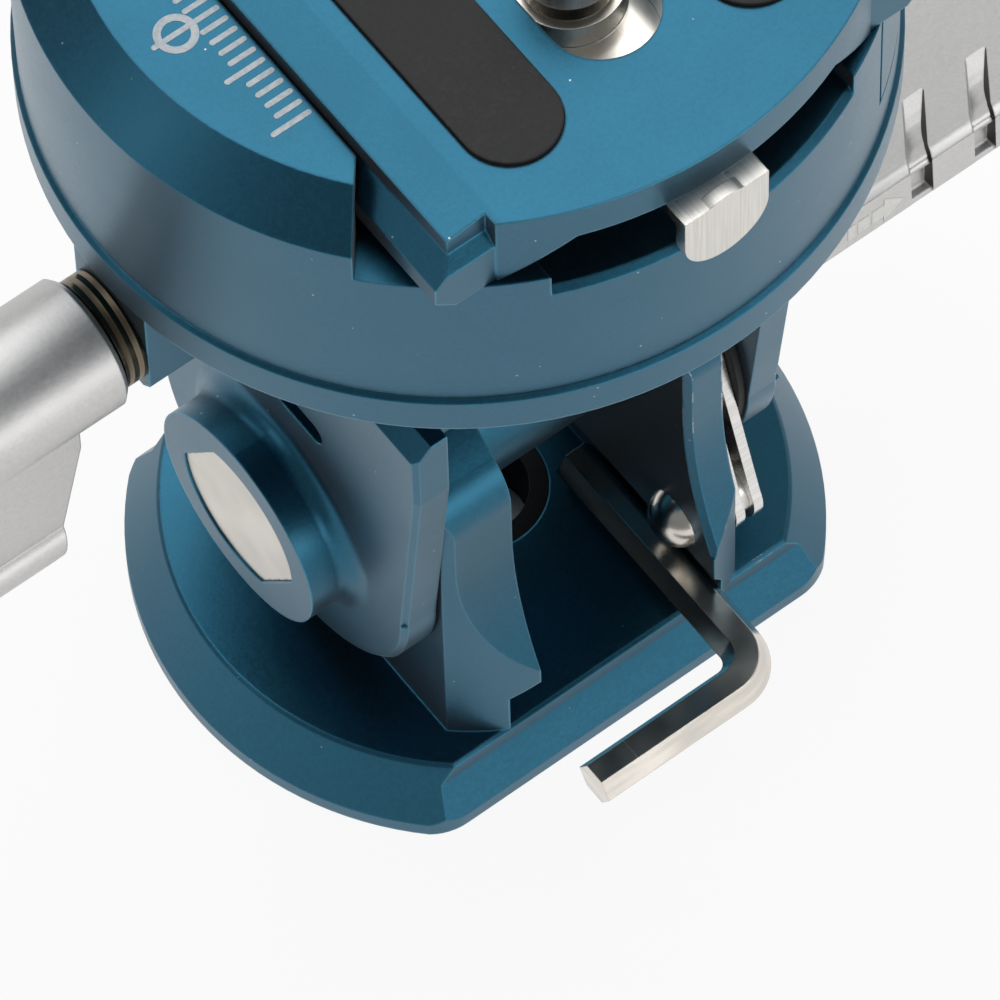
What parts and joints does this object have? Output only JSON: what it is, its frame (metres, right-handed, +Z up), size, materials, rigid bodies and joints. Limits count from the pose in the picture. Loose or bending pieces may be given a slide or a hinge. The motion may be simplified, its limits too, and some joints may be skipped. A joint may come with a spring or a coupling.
{
  "type": "tilt head",
  "caption": "Tilt head: a braked yoke on a round threaded foot, a panning table with a dovetail clamp, a sliding camera plate and locking levers.",
  "frame": {"origin": "centre of the threaded hole at the underside of the foot", "axes": "+X along the tilt axis towards the tilt lever, +Z up out of the camera plate, -Y towards the front where the key and the stop tab are"},
  "size_m": [0.103, 0.0608, 0.0968],
  "materials": {
    "blue_anodised": "satin blue anodised",
    "silver_anodised": "fine blasted, clear anodised",
    "steel": "turned and ground",
    "nickel": "nickel plated",
    "bronze": "plain bearing bronze",
    "rubber": "matt black",
    "polymer": "plain bearing polymer"
  },
  "bodies": {
    "base": {"base_yoke": "blue_anodised", "thread_bush": "steel", "tilt_bush_left": "bronze", "tilt_bush_right": "bronze", "pivot_sleeve": "blue_anodised", "anchor_screw": "nickel", "brake_plate_inner": "steel", "brake_plate_outer": "steel", "brake_spacer": "steel"},
    "key": {"hex_key": "nickel"},
    "tilt": {"tilt_platform": "blue_anodised", "pivot_shaft": "steel", "rotor_disc": "steel", "friction_disc": "rubber", "thrust_washer": "polymer", "spring_washer": "steel", "pan_bushes": "bronze", "pan_race": "polymer", "brake_shoe": "bronze"},
    "tilt_lock": {"tilt_lock_nut": "steel", "tilt_lever_screw": "steel", "tilt_lever_spring": "steel"},
    "tilt_handle": {"tilt_lever": "silver_anodised"},
    "pan_lock": {"pan_lock_stud": "nickel", "pan_lever_screw": "steel", "pan_lever_spring": "steel"},
    "pan_handle": {"pan_lever": "silver_anodised"},
    "pan": {"pan_table": "blue_anodised", "pan_spindle": "steel", "spindle_screws": "steel", "pan_retainer": "steel", "retainer_screw": "steel", "guide_pins": "steel", "jaw_springs": "steel"},
    "jaw": {"clamp_jaw": "blue_anodised"},
    "knob": {"clamp_knob": "silver_anodised", "clamp_screw": "steel", "knob_washer": "nickel"},
    "plate": {"camera_plate": "blue_anodised", "pad_left": "rubber", "pad_right": "rubber", "stop_tab": "steel", "stop_tab_screw": "nickel"},
    "carriage": {"screw_collar": "nickel"},
    "screw": {"camera_screw": "steel"}
  },
  "joints": [
    {"name": "key_slide", "type": "slide", "parent": "base", "child": "key", "axis": [0, 1, 0], "range_m": [-0.03, 0]},
    {"name": "tilt", "type": "hinge", "parent": "base", "child": "tilt", "pos_m": [0, 0, 0.0236], "axis": [1, 0, 0], "range_deg": [-85, 85]},
    {"name": "tilt_lock_turn", "type": "hinge", "parent": "tilt", "child": "tilt_lock", "pos_m": [0.0177, 0, 0.0236], "axis": [1, 0, 0], "range_deg": [-75, 0]},
    {"name": "tilt_lever_pull", "type": "slide", "parent": "tilt_lock", "child": "tilt_handle", "axis": [1, 0, 0], "range_m": [0, 0.004], "stiffness_N_per_m": 300, "springref_m": -0.002, "deforming": ["tilt_lever_spring"]},
    {"name": "pan_lock_turn", "type": "hinge", "parent": "tilt", "child": "pan_lock", "pos_m": [-0.0313, 0, 0.06], "axis": [1, 0, 0], "range_deg": [-60, 60]},
    {"name": "pan_lever_pull", "type": "slide", "parent": "pan_lock", "child": "pan_handle", "axis": [-1, 0, 0], "range_m": [0, 0.004], "stiffness_N_per_m": 300, "springref_m": -0.002, "deforming": ["pan_lever_spring"]},
    {"name": "pan", "type": "hinge", "parent": "tilt", "child": "pan", "pos_m": [0, 0, 0.0703], "axis": [0, 0, 1], "continuous": true},
    {"name": "jaw_slide", "type": "slide", "parent": "pan", "child": "jaw", "axis": [1, 0, 0], "range_m": [0, 0.003], "deforming": ["jaw_springs"]},
    {"name": "knob_turn", "type": "hinge", "parent": "jaw", "child": "knob", "pos_m": [0.03, 0, 0.0788], "axis": [1, 0, 0], "range_deg": [0, 1350]},
    {"name": "plate_slide", "type": "slide", "parent": "pan", "child": "plate", "axis": [0, 1, 0], "range_m": [-0.03, 0]},
    {"name": "carriage_slide", "type": "slide", "parent": "plate", "child": "carriage", "axis": [0, 1, 0], "range_m": [-0.001, 0.0284]},
    {"name": "screw_turn", "type": "hinge", "parent": "carriage", "child": "screw", "pos_m": [0, -0.0125, 0.0942], "axis": [0, 0, 1], "continuous": true}
  ],
  "couplings": [
    {"joint": "jaw_slide", "follows": "knob_turn", "m_per_rad": 0.00012732}
  ]
}
